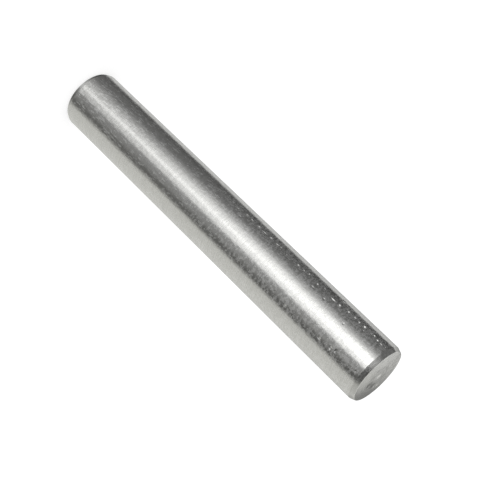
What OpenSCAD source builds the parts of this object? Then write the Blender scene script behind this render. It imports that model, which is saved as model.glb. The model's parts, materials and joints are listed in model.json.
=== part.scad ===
// Ball stop pin: a plain round steel pin, turned and ground from one bar.
// Each end has a short taper, blended into the ground body and into a flat end face.
// The pin stands on its lower end face, with its axis on +Z and the origin at the
// middle of that face. All lengths are in millimetres.

/* [Body] */
// Diameter of the ground body
pin_d = 9.525; // [6:0.005:16]
// Length over the two end faces
pin_len = 63.5; // [30:0.5:120]

/* [Ends] */
// Length of the taper at each end, along the axis
point_len = 0.635; // [0.4:0.005:1.5]
// How far the taper draws in on the radius
point_drop = 0.295; // [0.2:0.005:0.6]
// Radius of the blend between the body and the taper
shoulder_r = 0.4; // [0.1:0.05:0.6]
// Radius of the blend between the taper and the end face
rim_r = 0.12; // [0.05:0.01:0.2]

/* [Hidden] */
// Facets around the pin
$fn = 96;
// Straight steps along the arc of each blend
blend_steps = 4;
steel = [0.68, 0.68, 0.66];
body_r = pin_d / 2;
face_r = body_r - point_drop;

// Corners of the half section before they are blended, as [radius, height], going up
lower_centre = [0, 0];
lower_rim = [face_r, 0];
lower_shoulder = [body_r, point_len];
upper_shoulder = [body_r, pin_len - point_len];
upper_rim = [face_r, pin_len];
upper_centre = [0, pin_len];

function unit(v) = v / norm(v);

// Points along the arc of radius r that blends a corner of the half section.
// The arc touches the sides that lead to the corner before it and to the corner after it.
function blend(before, corner, after, r) =
    let (
        back = unit(before - corner),
        onward = unit(after - corner),
        half_angle = acos(back * onward) / 2,
        middle = corner + unit(back + onward) * r / sin(half_angle),
        start = corner + back * r / tan(half_angle) - middle,
        turn = 180 - 2 * half_angle
    )
    [for (i = [0 : blend_steps])
        let (a = atan2(start.y, start.x) + turn * i / blend_steps)
        middle + r * [cos(a), sin(a)]
    ];

module half_section() {
    polygon(concat(
        [lower_centre],
        blend(lower_centre, lower_rim, lower_shoulder, rim_r),
        blend(lower_rim, lower_shoulder, upper_shoulder, shoulder_r),
        blend(lower_shoulder, upper_shoulder, upper_rim, shoulder_r),
        blend(upper_shoulder, upper_rim, upper_centre, rim_r),
        [upper_centre]
    ));
}

module stop_pin() {
    color(steel)
        rotate_extrude()
            half_section();
}

stop_pin();
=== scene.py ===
"""A ground steel ball stop pin that stands on its end, lit and framed as in the reference photograph."""
import json
import math

import bpy
from mathutils import Matrix, Vector


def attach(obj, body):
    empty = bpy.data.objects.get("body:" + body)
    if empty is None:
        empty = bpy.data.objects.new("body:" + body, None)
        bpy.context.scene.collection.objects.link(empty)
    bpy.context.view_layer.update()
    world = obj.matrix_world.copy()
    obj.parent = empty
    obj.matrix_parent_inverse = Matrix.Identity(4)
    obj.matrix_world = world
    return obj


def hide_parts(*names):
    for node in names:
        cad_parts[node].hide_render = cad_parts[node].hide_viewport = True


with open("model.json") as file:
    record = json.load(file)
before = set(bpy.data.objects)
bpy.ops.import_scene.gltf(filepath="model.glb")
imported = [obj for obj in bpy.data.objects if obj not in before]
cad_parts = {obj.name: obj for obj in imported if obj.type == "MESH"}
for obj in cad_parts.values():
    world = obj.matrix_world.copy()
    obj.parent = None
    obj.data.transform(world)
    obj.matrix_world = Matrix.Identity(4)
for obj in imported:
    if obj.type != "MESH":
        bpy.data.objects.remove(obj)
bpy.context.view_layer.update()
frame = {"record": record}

MM = 0.001

# The photograph's frame and the camera that fits the pin's outline there, in pixels and degrees
IMAGE_W = 503
IMAGE_H = 496
FOCAL_PX = 1218.4
PIN_WIDTH_PX = 65.54
PIN_MIDDLE_PX = (224.3, 227.6)
AXIS_TURN = 44.05
CAMERA_RISE = 22.84
SENSOR_MM = 36.0
CLIP_SHARE = 0.01

# The pin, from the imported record, and the form of its ends
# The upper taper is a little longer than the solid's, because it shows so in the photograph
mounts = {mount["name"]: mount for mount in frame["record"]["mounts"]}
PIN_R = mounts["body"]["dims"]["r_mm"] * MM
PIN_LEN = mounts["upper_end"]["pos_m"][2]
LOWER_POINT_LEN = 0.635 * MM
UPPER_POINT_LEN = 0.76 * MM
POINT_DROP = 0.295 * MM
SHOULDER_R = 0.4 * MM
RIM_R = 0.12 * MM
FACE_R = PIN_R - POINT_DROP

# The mesh: steps round the pin and along each blend, and the spacing of its rings and columns
ROUND_STEPS = 120
BLEND_STEPS = 8
BODY_SPACING = 1.0 * MM
END_SPACING = 0.12 * MM
NICK_SPACING = 0.07 * MM
SUPPORT_GAP = 0.02 * MM
# Radii and heights are compared in the single precision of a Vector
SINGLE_PRECISION = 1e-6
# Faces of the mesh that look up more steeply than this are the upper end
FACE_NORMAL_Z = 0.98

# Marks that facing left on the upper end: a slight crown and a small hollow in the middle
CROWN_H = 0.06 * MM
HOLLOW_R = 0.55 * MM
HOLLOW_DEPTH = 0.05 * MM
# Dents in the upper end, as place, radius and depth in mm
FACE_DENTS = [
    ((1.9, 0.0), 0.40, 0.04),
    ((1.4, 1.3), 0.45, 0.04),
    ((1.2, 2.6), 0.35, 0.04),
]

# Nicks in the body, as height in mm, azimuth in degrees, then half length, half width and depth in mm
NICKS = [
    (31.5, -47.5, 0.25, 0.20, 0.06),
    (32.8, -43.8, 0.45, 0.20, 0.05),
    (34.1, -34.5, 0.30, 0.22, 0.04),
    (34.4, -48.4, 0.40, 0.20, 0.085),
    (35.5, -47.4, 0.45, 0.20, 0.08),
    (37.0, -47.2, 0.40, 0.28, 0.115),
    (38.3, -46.0, 0.80, 0.20, 0.07),
    (39.5, -47.5, 0.40, 0.24, 0.11),
    (40.9, -46.6, 0.55, 0.24, 0.095),
    (41.6, -47.2, 0.25, 0.24, 0.09),
    (43.0, -44.8, 0.35, 0.20, 0.05),
    (45.3, -45.7, 0.28, 0.22, 0.115),
    (46.5, -45.5, 0.30, 0.20, 0.08),
    (47.3, -47.8, 0.20, 0.30, 0.15),
    (49.3, -44.3, 0.25, 0.22, 0.10),
    (49.3, -33.0, 0.45, 0.20, 0.045),
    (50.4, -49.0, 0.20, 0.20, 0.09),
    (51.7, -31.6, 0.30, 0.20, 0.045),
    (52.5, -43.4, 0.75, 0.20, 0.095),
    (53.5, -61.2, 0.40, 0.22, 0.05),
    (53.7, -44.2, 0.25, 0.24, 0.18),
    (54.8, -52.0, 0.20, 0.20, 0.06),
    (55.2, -47.8, 0.25, 0.24, 0.155),
    (56.2, -23.2, 0.20, 0.22, 0.04),
    (56.4, -48.3, 0.42, 0.22, 0.10),
    (57.3, -46.9, 0.30, 0.22, 0.105),
    (58.3, -48.2, 0.38, 0.26, 0.16),
    (58.7, -39.7, 0.20, 0.18, 0.075),
    (59.1, -52.0, 0.20, 0.20, 0.07),
    (59.6, -48.4, 0.25, 0.20, 0.07),
    (60.1, -48.9, 0.34, 0.22, 0.12),
    (60.9, -45.6, 0.34, 0.22, 0.11),
    (61.6, -45.1, 0.45, 0.20, 0.08),
    (62.3, -46.5, 0.20, 0.20, 0.08),
    (3.0, 19.5, 0.35, 0.25, 0.045),
    (7.2, 16.5, 0.30, 0.25, 0.03),
    (26.0, 21.6, 0.25, 0.25, 0.03),
    (45.9, 18.5, 0.25, 0.25, 0.03),
    (48.4, 23.4, 0.50, 0.25, 0.05),
    (53.9, 22.4, 0.25, 0.25, 0.03),
    (55.2, 21.9, 0.45, 0.25, 0.065),
    (57.3, 20.6, 0.40, 0.36, 0.09),
    (58.1, 17.5, 0.25, 0.40, 0.08),
    (62.0, 19.2, 0.25, 0.25, 0.04),
]

# Surround that the pin mirrors, as (degrees, level) stops, across by azimuth and up by rise
# Azimuths are from the front of the pin, right-handed about +Z, and rises are above the horizon
# Walls: pale on the right and behind, dark in front and on the left, and dimmer above and below
WALLS_ACROSS = [
    (-180, 0.58), (-160, 0.69), (-145, 0.79), (-128, 0.80), (-125, 0.08), (-108, 0.095), (-92, 0.15),
    (-60, 0.16), (50, 0.15), (59, 0.12), (75, 0.77), (150, 0.85), (160, 0.80), (180, 0.68),
]
WALLS_UP = [(-4, 1.0), (8, 0.84), (30, 0.65)]
WALLS_DOWN = [(-90, 0.10), (-68, 0.10), (-54, 0.85), (-40, 0.94), (-24, 1.0)]
# Corner: the share by which the wall behind on the left is darker low down
CORNER_ACROSS = [(-180, 0.0), (-172, 1.0), (-130, 1.0), (-122, 0.0)]
CORNER_UP = [(-90, 0.95), (-43, 0.95), (-36, 0.0)]
# Behind: what the walls' brightness is multiplied by there, fading in between two azimuths
BEHIND_FROM = 120.0
BEHIND_TO = 160.0
BEHIND_UP = [(-32, 0.45), (-22, 0.43), (-14, 0.38), (3, 0.2), (11, 0.2), (20, 1.0)]
BEHIND_LEVEL = 2.0
# Glow in front, and in it the window and the narrow strip below that make the bright streak on the body
GLOW_ACROSS = [
    (-80, 0.0), (-66, 0.06), (-49, 0.36), (-32, 0.37), (-8, 0.39),
    (2, 0.29), (14, 0.19), (32, 0.21), (48, 0.0),
]
GLOW_UP = [(-38, 0.40), (-33, 0.55), (-28, 0.87), (-24, 1.0), (-17, 1.1), (6, 1.1), (14, 0.0)]
WINDOW_ACROSS = [
    (-58, 0.0), (-46, 0.10), (-32, 0.75), (-24, 1.0),
    (8, 1.0), (12, 0.52), (16, 0.13), (23, 0.0),
]
WINDOW_UP = [(-50, 0.0), (-31, 0.15), (-21, 1.0), (-17, 0.88), (4, 0.82), (14, 0.0)]
WINDOW_LEVEL = 1.30
STRIP_ACROSS = [(-22, 0.0), (-16, 0.58), (-10, 0.58), (-4, 0.0)]
STRIP_UP = [(-60, 0.0), (-40, 0.6), (-28, 1.0), (-20, 0.20), (-15, 0.0)]
# Lintel: light above the window, which the upper taper mirrors
LINTEL_ACROSS = [
    (-128, 0.0), (-112, 0.20), (-98, 0.06), (-64, 0.06), (-52, 0.13), (-44, 0.24),
    (-34, 0.36), (-20, 0.34), (-10, 0.22), (-2, 0.04), (10, 0.0),
]
LINTEL_UP = [(4, 0.0), (12, 1.0), (60, 1.0), (75, 0.0)]
# Sill: light far below the window, which the lower taper mirrors
SILL_ACROSS = [
    (-130, 0.0), (-112, 0.08), (-92, 0.40), (-61, 0.95),
    (-30, 0.75), (0, 0.48), (61, 0.14), (92, 0.0),
]
SILL_UP = [(-90, 1.0), (-62, 1.0), (-46, 0.0)]
# Bounce: faint light from below, all round
BOUNCE_UP = [(-90, 0.047), (-34, 0.047), (-28, 0.036), (-22, 0.012), (-14, 0.0)]
# Blue part of the surround's light, where red and green are 1
BLUE_ACROSS = [(-180, 0.985), (-60, 0.998), (20, 0.998), (45, 0.975), (70, 0.955), (180, 0.965)]

# White light on the floor, and what the floor adds of its own to look white to the camera
WHITE = (1.0, 1.0, 1.0, 1.0)
WORLD_STRENGTH = 1.1
FLOOR_COLOUR = (0.45, 0.45, 0.45, 1.0)
FLOOR_LIFT = 0.62
FLOOR_SIZE = 3.0

# Soft lamp in front of the pin, a little to its left, in degrees, metres and watts
LAMP_AZIMUTH = -17.0
LAMP_DISTANCE = 0.30
LAMP_HEIGHT = 0.03
LAMP_SIZE = (0.16, 0.05)
LAMP_WATTS = 0.05

# Ground steel: its two colours, and the grain and the lines that grinding left round the axis
STEEL_PALE = (0.63, 0.63, 0.615, 1.0)
STEEL_DARK = (0.55, 0.55, 0.535, 1.0)
LINE_TONES = (0.25, 0.75)
GRAIN_SIZE = 0.42 * MM
GRAIN_STRETCH = 1.7
GRAIN_HEIGHT = 0.014 * MM
LAY_SPACING = 0.15 * MM
LAY_STRETCH = 25.0
LAY_HEIGHT = 0.0012 * MM
GROUND_ANISOTROPY = 0.85
# A quarter of a turn, which spreads the highlights across the lines
ACROSS_LINES = 0.25
# Two levels of the mottling, and the roughness at each
GROUND_ROUGHNESS = (0.35, 0.65, 0.16, 0.26)

# Mottling of the dull film: streaks and specks on the upper part of the body
STREAK_SPACING = 0.32 * MM
STREAK_STRETCH = 2.6
STREAK_SHARE = 0.4
SPECK_SIZE = 0.4 * MM
SPECK_ROUGHNESS = 0.6
SPECK_SHARE = 0.6
# Finer marks along the axis on the lower part, which give way to those between two heights
MARK_SIZE = 0.28 * MM
MARK_STRETCH = 3.0
MARK_DETAIL = 1.5
MARK_GAIN = 0.60
MARK_LIFT = 0.20
MARKS_END = (8 * MM, 44 * MM)

# The film: where the mottling is cut, how it thickens in clouds and upwards, and its share where thin
FILM_ROUGHNESS = 0.65
FILM_IOR = 3.4
FILM_CUT = (0.47, 0.60)
CLOUD_SIZE = 2.0 * MM
CLOUD_DETAIL = 1.0
CLOUD_DEPTH = 0.08
THICKENS_OVER = (0.0, 60 * MM)
THICKENS_BY = (-0.025, 0.03)
TAPER_SHARE = 0.3
RUBBED_ACROSS = (-3.2 * MM, 0.5 * MM)
RUBBED_SHARE = 0.80
# Flecks of the film among the nicks: their noise and its cut, then azimuths in degrees and heights
FLECK_SIZE = 0.17 * MM
FLECK_STRETCH = 1.8
FLECK_DETAIL = 0.0
FLECK_CUT = (0.60, 0.70)
FLECKS_ACROSS = [(-60, 0.0), (-53, 1.0), (-42, 1.0), (-34, 0.0)]
FLECKS_FROM = (24 * MM, 34 * MM)

# Faced steel of the upper end: rings from turning, and stains that vary its tone and roughness
# The mottle and the roughness are each two levels of the marks, and the value at each
RING_SPACING = 0.25 * MM
RING_STRETCH = 30.0
RING_HEIGHT = 0.012 * MM
STAIN_SIZE = 0.7 * MM
STAIN_DETAIL = 3.0
STAIN_ROUGHNESS = 0.6
FACED_ANISOTROPY = 0.5
FACED_ROUGHNESS = (0.3, 0.7, 0.24, 0.32)
FACE_MOTTLE = (0.7, 1.3, 0.86, 1.14)
FACE_WARMTH = 0.975
# Painted shade: the face is painted darker across, as (mm from the middle, grey) stops along a direction in
# x and y, in place of the shade that it mirrors
FACE_PAINTED_SHADE = [
    (-4.2, 0.66), (-2.6, 0.65), (-1.3, 0.59), (0.2, 0.51),
    (1.3, 0.435), (2.2, 0.335), (3.2, 0.21), (4.4, 0.165),
]
FACE_PAINTED_SHADE_WAY = (0.91, 0.41)
FACE_PAINTED_SHADE_RAGGEDNESS = 1.5
# It is worn and duller inside the first pair of radii, and painted brighter inside the second, a painted
# glint in the middle
WORN_RADIUS = (1.9 * MM, 2.6 * MM)
WORN_RAGGEDNESS = 1.2 * MM
WORN_GAIN = 0.88
PAINTED_GLINT_RADIUS = (0.40 * MM, 0.95 * MM)
PAINTED_GLINT_GAIN = 1.42
# Spots on it, as place and radius in mm and a gain: below 1 for a stain, above 1 for a clean fleck
FACE_SPOTS = [
    ((1.66, -0.30), 0.70, 0.42),
    ((1.42, 1.15), 0.70, 0.44),
    ((1.50, 0.45), 0.60, 0.85),
    ((0.70, -1.40), 0.50, 0.84),
    ((-0.54, -1.80), 0.45, 0.78),
    ((-0.55, 1.20), 0.50, 0.80),
    ((1.38, 2.05), 0.40, 1.50),
    ((0.92, 2.65), 0.36, 1.45),
]
# A spot is full inside the first share of its radius and gone outside the second
SPOT_FADE = (0.4, 1.2)
SPOT_RAGGEDNESS = 1.2 * MM
SPOT_GRAIN = 0.3 * MM

NOISE_MIDDLE = 0.5


def direction(azimuth):
    """Level unit vector at an azimuth in degrees from the front of the pin."""
    angle = math.radians(azimuth)
    return Vector((math.sin(angle), -math.cos(angle), 0))


def add_object(name, data):
    made = bpy.data.objects.new(name, data)
    bpy.context.scene.collection.objects.link(made)
    return made


class Graph:
    """Short ways to add the nodes of a material or a world. All but add return output sockets."""

    def __init__(self, owner):
        owner.use_nodes = True
        self.tree = owner.node_tree
        self.tree.nodes.clear()

    def add(self, kind, inputs=None, **settings):
        """A node, with its inputs linked or set."""
        made = self.tree.nodes.new(kind)
        for name, value in settings.items():
            setattr(made, name, value)
        for name, value in (inputs or {}).items():
            if isinstance(value, bpy.types.NodeSocket):
                self.tree.links.new(value, made.inputs[name])
            else:
                made.inputs[name].default_value = value
        return made

    def math(self, operation, *values):
        return self.add("ShaderNodeMath", dict(enumerate(values)), operation=operation).outputs[0]

    def sum(self, *values):
        total = values[0]
        for value in values[1:]:
            total = self.math("ADD", total, value)
        return total

    def product(self, *values):
        total = values[0]
        for value in values[1:]:
            total = self.math("MULTIPLY", total, value)
        return total

    def rest(self, share):
        """What a share leaves of 1."""
        return self.math("SUBTRACT", 1.0, share)

    def length(self, x, y):
        return self.math("SQRT", self.sum(self.math("POWER", x, 2.0), self.math("POWER", y, 2.0)))

    def azimuth(self, x, y):
        """Degrees from the front of the pin, right-handed about +Z."""
        return self.math("DEGREES", self.math("ARCTAN2", x, self.product(y, -1.0)))

    def join(self, x, y, z):
        return self.add("ShaderNodeCombineXYZ", {"X": x, "Y": y, "Z": z}).outputs[0]

    def split(self, vector):
        made = self.add("ShaderNodeSeparateXYZ", {"Vector": vector})
        return made.outputs["X"], made.outputs["Y"], made.outputs["Z"]

    def place(self):
        return self.add("ShaderNodeTexCoord").outputs["Object"]

    def noise(self, vector, size, detail=2.0, roughness=0.5):
        inputs = {"Vector": vector, "Scale": 1 / size, "Detail": detail, "Roughness": roughness}
        return self.add("ShaderNodeTexNoise", inputs).outputs[0]

    def centred(self, noise):
        """Noise that goes as far below zero as above it."""
        return self.math("SUBTRACT", noise, NOISE_MIDDLE)

    def remap(self, value, low, high, to_low=0.0, to_high=1.0):
        inputs = {"Value": value, "From Min": low, "From Max": high, "To Min": to_low, "To Max": to_high}
        return self.add("ShaderNodeMapRange", inputs, interpolation_type="SMOOTHSTEP").outputs[0]

    def levels(self, value, stops):
        """A value read from (place, level) stops, with straight lines between them."""
        low, high = stops[0][0], stops[-1][0]
        inputs = {"Value": value, "From Min": low, "From Max": high}
        ramp = self.add("ShaderNodeValToRGB", {"Fac": self.add("ShaderNodeMapRange", inputs).outputs[0]})
        elements = ramp.color_ramp.elements
        while len(elements) < len(stops):
            elements.new(1.0)
        for element, (place, level) in zip(elements, stops):
            element.position = (place - low) / (high - low)
            element.color = (level, level, level, 1.0)
        return ramp.outputs["Color"]

    def mix(self, factor, first, second):
        inputs = {"Factor": factor, 6: first, 7: second}
        return self.add("ShaderNodeMix", inputs, data_type="RGBA").outputs[2]

    def bump(self, height):
        """A normal for marks whose height is in metres."""
        return self.add("ShaderNodeBump", {"Height": height, "Distance": 1.0, "Strength": 1.0}).outputs[0]


def make_camera():
    """The photograph's camera: it looks down at the standing pin, and is rolled as in the photograph."""
    turn, rise = math.radians(AXIS_TURN), math.radians(CAMERA_RISE)
    right = Vector((-math.sin(turn), math.sin(rise) * math.cos(turn), math.cos(rise) * math.cos(turn)))
    down = Vector((math.cos(turn), math.sin(rise) * math.sin(turn), math.cos(rise) * math.sin(turn)))
    ahead = Vector((0, math.cos(rise), -math.sin(rise)))
    depth = FOCAL_PX / PIN_WIDTH_PX * 2 * PIN_R
    aside = (PIN_MIDDLE_PX[0] - IMAGE_W / 2) / FOCAL_PX * depth
    below = (PIN_MIDDLE_PX[1] - IMAGE_H / 2) / FOCAL_PX * depth
    data = bpy.data.cameras.new("photo_camera")
    data.sensor_width = SENSOR_MM
    data.lens = FOCAL_PX / IMAGE_W * SENSOR_MM
    data.clip_start = depth * CLIP_SHARE
    camera = add_object("photo_camera", data)
    place = Vector((0, 0, PIN_LEN / 2)) - right * aside - down * below - ahead * depth
    axes = Matrix((right, -down, -ahead)).transposed()
    camera.matrix_world = Matrix.Translation(place) @ axes.to_4x4()
    bpy.context.scene.camera = camera


def surround(graph):
    """Tint and brightness of what the pin mirrors: pale and dark walls, and the lights in front of it."""
    x, y, z = graph.split(graph.add("ShaderNodeTexCoord").outputs["Generated"])
    azimuth = graph.azimuth(x, y)
    rise = graph.math("DEGREES", graph.math("ARCSINE", z))

    def by_direction(across, up):
        return graph.product(graph.levels(azimuth, across), graph.levels(rise, up))

    behind = graph.remap(graph.math("ABSOLUTE", azimuth), BEHIND_FROM, BEHIND_TO)
    behind_level = graph.product(graph.levels(rise, BEHIND_UP), BEHIND_LEVEL)
    dimming = graph.product(behind, graph.rest(behind_level))
    walls = graph.product(
        by_direction(WALLS_ACROSS, WALLS_DOWN),
        graph.levels(rise, WALLS_UP),
        graph.rest(dimming),
        graph.rest(by_direction(CORNER_ACROSS, CORNER_UP)),
    )
    level = graph.sum(
        walls,
        by_direction(GLOW_ACROSS, GLOW_UP),
        graph.product(by_direction(WINDOW_ACROSS, WINDOW_UP), WINDOW_LEVEL),
        by_direction(STRIP_ACROSS, STRIP_UP),
        by_direction(LINTEL_ACROSS, LINTEL_UP),
        by_direction(SILL_ACROSS, SILL_UP),
        graph.levels(rise, BOUNCE_UP),
    )
    tint = graph.join(1.0, 1.0, graph.levels(azimuth, BLUE_ACROSS))
    return tint, level


def make_world():
    """White light for the floor, and the surround for what mirrors it."""
    world = bpy.data.worlds.new("studio")
    bpy.context.scene.world = world
    graph = Graph(world)
    tint, level = surround(graph)
    mirrored = graph.add("ShaderNodeBackground", {"Color": tint, "Strength": level}).outputs[0]
    white = graph.add("ShaderNodeBackground", {"Color": WHITE, "Strength": WORLD_STRENGTH}).outputs[0]
    glossy = graph.add("ShaderNodeLightPath").outputs["Is Glossy Ray"]
    light = graph.add("ShaderNodeMixShader", {0: glossy, 1: white, 2: mirrored}).outputs[0]
    graph.add("ShaderNodeOutputWorld", {"Surface": light})


def make_floor():
    """A white floor, which the pin doesn't mirror, because in the photograph it mirrors a studio."""
    half = FLOOR_SIZE / 2
    corners = [(-half, -half, 0), (half, -half, 0), (half, half, 0), (-half, half, 0)]
    mesh = bpy.data.meshes.new("floor")
    mesh.from_pydata(corners, [], [(0, 1, 2, 3)])
    floor = add_object("floor", mesh)
    floor.visible_glossy = False
    material = bpy.data.materials.new("floor")
    graph = Graph(material)
    paint = graph.add("ShaderNodeBsdfDiffuse", {"Color": FLOOR_COLOUR}).outputs[0]
    seen = graph.add("ShaderNodeLightPath").outputs["Is Camera Ray"]
    lift = graph.add("ShaderNodeEmission", {"Strength": graph.product(seen, FLOOR_LIFT)}).outputs[0]
    both = graph.add("ShaderNodeAddShader", {0: paint, 1: lift}).outputs[0]
    graph.add("ShaderNodeOutputMaterial", {"Surface": both})
    mesh.materials.append(material)


def make_lamp():
    data = bpy.data.lights.new("strip_lamp", "AREA")
    data.shape = "RECTANGLE"
    data.size, data.size_y = LAMP_SIZE
    data.energy = LAMP_WATTS
    lamp = add_object("strip_lamp", data)
    lamp.location = direction(LAMP_AZIMUTH) * LAMP_DISTANCE + Vector((0, 0, LAMP_HEIGHT))
    aim = Vector((0, 0, PIN_LEN / 2)) - lamp.location
    lamp.rotation_euler = aim.to_track_quat("-Z", "Y").to_euler()
    lamp.visible_camera = False


def blend(before, corner, after, radius):
    """Points on the arc that blends a corner of the half section into the two sides that meet there."""
    back, onward = (before - corner).normalized(), (after - corner).normalized()
    half = math.acos(back.dot(onward)) / 2
    middle = corner + (back + onward).normalized() * radius / math.sin(half)
    start = corner + back * radius / math.tan(half) - middle
    begin, turn = math.atan2(start.y, start.x), math.pi - 2 * half
    angles = [begin + turn * i / BLEND_STEPS for i in range(BLEND_STEPS + 1)]
    return [middle + radius * Vector((math.cos(a), math.sin(a))) for a in angles]


def straight(start, end, spacing):
    """Points between two places, evenly spaced, with one close to each place to hold the shading there."""
    length = (end - start).length
    along = (end - start) / length
    steps = max(1, round(length / spacing))
    places = [SUPPORT_GAP, *(length * i / steps for i in range(1, steps)), length - SUPPORT_GAP]
    return [start + along * place for place in places]


def spaced(start, end, step, fine_step, fine_ranges):
    """Places from a start to short of an end, a step apart, or a finer one inside the ranges given."""
    steps = round((end - start) / step)
    places = [start + (end - start) * i / steps for i in range(steps)]
    for low, high in fine_ranges:
        count = round((high - low) / fine_step)
        places += [low + (high - low) * i / count for i in range(count + 1)]
    kept = [start]
    for place in sorted(places):
        if kept[-1] + fine_step / 2 < place < end - fine_step / 2:
            kept.append(place)
    return kept


def body_heights(start, end):
    """Heights of the mesh's rings along the body, closer together where the nicks are."""
    first, last = start + SUPPORT_GAP, end - SUPPORT_GAP
    nicked = [((height - reach) * MM, (height + reach) * MM) for height, _, reach, _, _ in NICKS]
    return [*spaced(first, last, BODY_SPACING, NICK_SPACING, nicked), last]


def half_section():
    """The half section as (radius, height), from the middle of the lower face to that of the upper face."""
    corners = [
        Vector((0, 0)),
        Vector((FACE_R, 0)),
        Vector((PIN_R, LOWER_POINT_LEN)),
        Vector((PIN_R, PIN_LEN - UPPER_POINT_LEN)),
        Vector((FACE_R, PIN_LEN)),
        Vector((0, PIN_LEN)),
    ]
    radii = [RIM_R, SHOULDER_R, SHOULDER_R, RIM_R]
    lower_rim, lower_shoulder, upper_shoulder, upper_rim = [
        blend(*corners[k:k + 3], radius) for k, radius in enumerate(radii)
    ]
    heights = body_heights(lower_shoulder[-1].y, upper_shoulder[0].y)
    return [
        corners[0],
        *straight(corners[0], lower_rim[0], BODY_SPACING),
        *lower_rim,
        *straight(lower_rim[-1], lower_shoulder[0], END_SPACING),
        *lower_shoulder,
        *(Vector((PIN_R, height)) for height in heights),
        *upper_shoulder,
        *straight(upper_shoulder[-1], upper_rim[0], END_SPACING),
        *upper_rim,
        *straight(upper_rim[-1], corners[-1], END_SPACING),
        corners[-1],
    ]


def dent(apart):
    """Share of a dent's full depth, at a distance from its middle given as a share of its reach."""
    return max(0.0, 1 - apart ** 2) ** 2


def nick_depth(azimuth, height):
    """How deep the body is nicked at an azimuth in degrees and a height."""
    total = 0.0
    for place, angle, half_length, half_width, depth in NICKS:
        along = (height / MM - place) / half_length
        around = math.radians(azimuth - angle) * PIN_R / MM / half_width
        total += depth * dent(math.hypot(along, around))
    return total * MM


def facing_height(x, y):
    """How far the upper face departs from flat: crowned, hollow in the middle and dented."""
    radius = math.hypot(x, y)
    total = CROWN_H * max(0.0, 1 - (radius / FACE_R) ** 2) - HOLLOW_DEPTH * dent(radius / HOLLOW_R)
    for (dent_x, dent_y), reach, depth in FACE_DENTS:
        total -= depth * MM * dent(math.hypot(x / MM - dent_x, y / MM - dent_y) / reach)
    return total


def column_azimuths():
    """Azimuths of the mesh's columns, in degrees, closer together where the nicks are."""
    degrees_per_mm = math.degrees(MM / PIN_R)
    nicked = []
    for _, azimuth, _, half_width, _ in NICKS:
        reach = half_width * degrees_per_mm
        nicked.append((azimuth - reach, azimuth + reach))
    return spaced(-180, 180, 360 / ROUND_STEPS, NICK_SPACING / MM * degrees_per_mm, nicked)


def ring_points(radius, height, azimuths):
    """One ring of the mesh, with the marks that fall on it."""
    on_body = math.isclose(radius, PIN_R, rel_tol=SINGLE_PRECISION)
    on_face = math.isclose(height, PIN_LEN, rel_tol=SINGLE_PRECISION)
    points = []
    for azimuth in azimuths:
        point = direction(azimuth) * (radius - nick_depth(azimuth, height) if on_body else radius)
        point.z = height
        if on_face:
            point.z += facing_height(point.x, point.y)
        points.append(point)
    return points


def pin_mesh():
    """The half section turned round the axis, as one closed skin."""
    azimuths = column_azimuths()
    columns = len(azimuths)
    rings = half_section()[1:-1]
    points = [Vector((0, 0, 0))]
    for radius, height in rings:
        points += ring_points(radius, height, azimuths)
    points.append(Vector((0, 0, PIN_LEN + facing_height(0, 0))))
    top = len(points) - 1
    faces = []
    for step in range(columns):
        beside = (step + 1) % columns
        faces.append((0, 1 + beside, 1 + step))
        for ring in range(len(rings) - 1):
            low, high = 1 + ring * columns, 1 + (ring + 1) * columns
            faces.append((low + step, low + beside, high + beside, high + step))
        faces.append((top - columns + step, top - columns + beside, top))
    mesh = bpy.data.meshes.new("ground_pin")
    mesh.from_pydata(points, [], faces)
    mesh.shade_smooth()
    return mesh


def make_pin():
    """The pin, in ground steel, with faced steel on its upper end."""
    mesh = pin_mesh()
    mesh.materials.append(ground_steel())
    mesh.materials.append(faced_steel())
    for face in mesh.polygons:
        if face.normal.z > FACE_NORMAL_Z:
            face.material_index = 1
    pin = add_object("ground_pin", mesh)
    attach(pin, "root")
    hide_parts("stop_pin")


def lay(graph, spacing, stretch):
    """Noise whose marks run round the axis, on the body and on the end faces alike, drawn out by stretch."""
    x, y, z = graph.split(graph.place())
    across = graph.math("SUBTRACT", z, graph.length(x, y))
    vector = graph.join(graph.math("DIVIDE", x, stretch), graph.math("DIVIDE", y, stretch), across)
    return graph.noise(vector, spacing)


def lengthwise(graph, stretch):
    """Places for noise whose marks are drawn out along the axis by stretch."""
    x, y, z = graph.split(graph.place())
    return graph.join(x, y, graph.product(z, 1 / stretch))


def steel_shader(graph, roughness, anisotropy, colour, normal, film=0.0):
    tangent = graph.add("ShaderNodeTangent", direction_type="RADIAL", axis="Z").outputs[0]
    shader = graph.add("ShaderNodeBsdfPrincipled", {
        "Base Color": colour,
        "Metallic": 1.0,
        "Roughness": roughness,
        "Anisotropic": anisotropy,
        "Anisotropic Rotation": ACROSS_LINES,
        "Tangent": tangent,
        "Normal": normal,
        "Coat Weight": film,
        "Coat Roughness": FILM_ROUGHNESS,
        "Coat IOR": FILM_IOR,
    }).outputs[0]
    graph.add("ShaderNodeOutputMaterial", {"Surface": shader})


def mottling(graph):
    """Pattern of the film: streaks and specks on the upper part, and lengthwise marks lower down."""
    _, _, z = graph.split(graph.place())
    streaks = lay(graph, STREAK_SPACING, STREAK_STRETCH)
    specks = graph.noise(graph.place(), SPECK_SIZE, roughness=SPECK_ROUGHNESS)
    upper = graph.sum(graph.product(streaks, STREAK_SHARE), graph.product(specks, SPECK_SHARE))
    marks = graph.noise(lengthwise(graph, MARK_STRETCH), MARK_SIZE, MARK_DETAIL)
    lower = graph.sum(graph.product(marks, MARK_GAIN), MARK_LIFT)
    higher = graph.remap(z, *MARKS_END)
    return graph.sum(graph.product(upper, higher), graph.product(lower, graph.rest(higher)))


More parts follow.
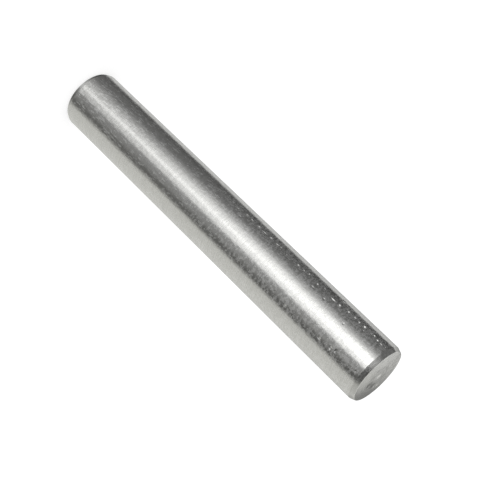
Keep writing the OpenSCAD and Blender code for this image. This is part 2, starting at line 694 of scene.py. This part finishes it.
def film_weight(graph, mottle):
    """How much film lies on the steel: less on the tapers and where it is rubbed, more in flecks."""
    x, y, z = graph.split(graph.place())
    clouds = graph.centred(graph.noise(lengthwise(graph, GRAIN_STRETCH), CLOUD_SIZE, CLOUD_DETAIL))
    thicker = graph.remap(z, *THICKENS_OVER, *THICKENS_BY)
    pattern = graph.sum(mottle, thicker, graph.product(clouds, CLOUD_DEPTH))
    from_middle = graph.math("ABSOLUTE", graph.math("SUBTRACT", z, PIN_LEN / 2))
    body_end = PIN_LEN / 2 - LOWER_POINT_LEN
    on_body = graph.remap(from_middle, body_end - SHOULDER_R, body_end, 1.0, TAPER_SHARE)
    rubbed = graph.remap(x, *RUBBED_ACROSS, RUBBED_SHARE, 1.0)
    patches = graph.product(graph.remap(pattern, *FILM_CUT), on_body, rubbed)
    fleck_noise = graph.noise(lengthwise(graph, FLECK_STRETCH), FLECK_SIZE, FLECK_DETAIL)
    flecks = graph.product(
        graph.remap(fleck_noise, *FLECK_CUT),
        graph.levels(graph.azimuth(x, y), FLECKS_ACROSS),
        graph.remap(z, *FLECKS_FROM),
        on_body,
    )
    return graph.math("MAXIMUM", patches, flecks)


def ground_steel():
    """Body, tapers and lower face: ground round the axis, with a patchy dull film."""
    material = bpy.data.materials.new("ground_steel")
    graph = Graph(material)
    lines = lay(graph, LAY_SPACING, LAY_STRETCH)
    grain = graph.noise(lengthwise(graph, GRAIN_STRETCH), GRAIN_SIZE)
    height = graph.sum(graph.product(grain, GRAIN_HEIGHT), graph.product(lines, LAY_HEIGHT))
    colour = graph.mix(graph.remap(lines, *LINE_TONES), STEEL_DARK, STEEL_PALE)
    mottle = mottling(graph)
    roughness = graph.remap(mottle, *GROUND_ROUGHNESS)
    film = film_weight(graph, mottle)
    steel_shader(graph, roughness, GROUND_ANISOTROPY, colour, graph.bump(height), film)
    return material


def face_spots(graph, x, y):
    """Gain of the spots on the upper end, which have ragged edges."""
    ragged = graph.product(graph.centred(graph.noise(graph.place(), SPOT_GRAIN)), SPOT_RAGGEDNESS)
    full, gone = SPOT_FADE
    gains = []
    for (spot_x, spot_y), reach, gain in FACE_SPOTS:
        away = graph.length(graph.math("SUBTRACT", x, spot_x * MM), graph.math("SUBTRACT", y, spot_y * MM))
        edge = graph.sum(away, ragged)
        gains.append(graph.remap(edge, full * reach * MM, gone * reach * MM, gain, 1.0))
    return graph.product(*gains)


def faced_steel():
    """Upper end: turned, with faint rings, worn round a middle painted brighter as a glint, spotted, and
    painted darker to one side as shade.
    """
    material = bpy.data.materials.new("faced_steel")
    graph = Graph(material)
    x, y, _ = graph.split(graph.place())
    rings = lay(graph, RING_SPACING, RING_STRETCH)
    stains = graph.noise(graph.place(), STAIN_SIZE, STAIN_DETAIL, STAIN_ROUGHNESS)
    uneven = graph.centred(stains)
    way_x, way_y = FACE_PAINTED_SHADE_WAY
    # Painted shade: place along the direction in which the face is painted darker
    across = graph.sum(
        graph.product(x, way_x / MM),
        graph.product(y, way_y / MM),
        graph.product(uneven, FACE_PAINTED_SHADE_RAGGEDNESS),
    )
    radius = graph.length(x, y)
    worn_to = graph.sum(radius, graph.product(uneven, WORN_RAGGEDNESS))
    # Tone: painted shade across the face and a painted glint in the middle, times mottle, wear and spots
    tone = graph.product(
        graph.levels(across, FACE_PAINTED_SHADE),
        graph.remap(graph.sum(rings, stains), *FACE_MOTTLE),
        graph.remap(worn_to, *WORN_RADIUS, WORN_GAIN, 1.0),
        # Painted glint: the middle is painted brighter
        graph.remap(radius, *PAINTED_GLINT_RADIUS, PAINTED_GLINT_GAIN, 1.0),
        face_spots(graph, x, y),
    )
    colour = graph.join(tone, tone, graph.product(tone, FACE_WARMTH))
    roughness = graph.remap(stains, *FACED_ROUGHNESS)
    normal = graph.bump(graph.product(rings, RING_HEIGHT))
    steel_shader(graph, roughness, FACED_ANISOTROPY, colour, normal)
    return material


bpy.context.scene.view_settings.view_transform = "Standard"
make_camera()
make_world()
make_floor()
make_lamp()
make_pin()
